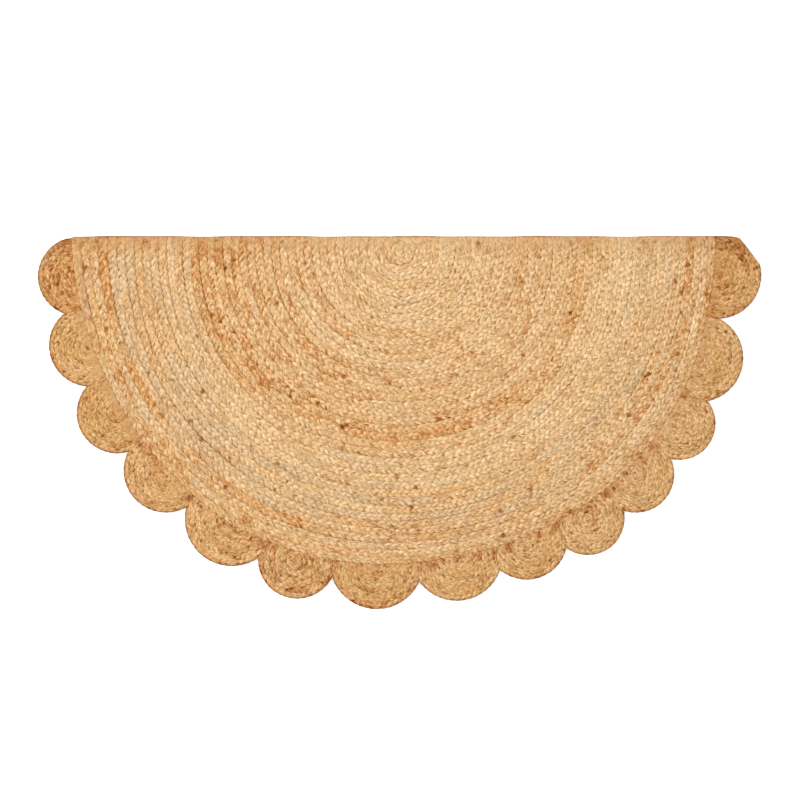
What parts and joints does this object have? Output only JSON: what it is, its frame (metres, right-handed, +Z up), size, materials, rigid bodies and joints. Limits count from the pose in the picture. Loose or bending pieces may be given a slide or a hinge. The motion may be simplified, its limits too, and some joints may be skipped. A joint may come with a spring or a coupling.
{
  "type": "half-moon braided jute rug with a scalloped border",
  "caption": "Half-moon rug of coiled flat jute braid, with a turned straight side and a border of smaller sewn-on braided coils as scallops, lying flat.",
  "frame": {"origin": "on the floor, under the middle of the rug's outline", "axes": "+X along the straight side to the right, +Y towards the straight side, +Z up"},
  "size_m": [1.1968, 0.6178, 0.009],
  "materials": {
    "disc_braid": "pale straw and honey jute, three-strand flat braid, matt",
    "scallop_braid": "golden brown jute, finer three-strand braid, matt"
  },
  "bodies": {
    "root": {"half_disc": "disc_braid", "scallop_01": "scallop_braid", "scallop_02": "scallop_braid", "scallop_03": "scallop_braid", "scallop_04": "scallop_braid", "scallop_05": "scallop_braid", "scallop_06": "scallop_braid", "scallop_07": "scallop_braid", "scallop_08": "scallop_braid", "scallop_09": "scallop_braid", "scallop_10": "scallop_braid", "scallop_11": "scallop_braid", "scallop_12": "scallop_braid", "scallop_13": "scallop_braid", "scallop_14": "scallop_braid"}
  },
  "joints": []
}
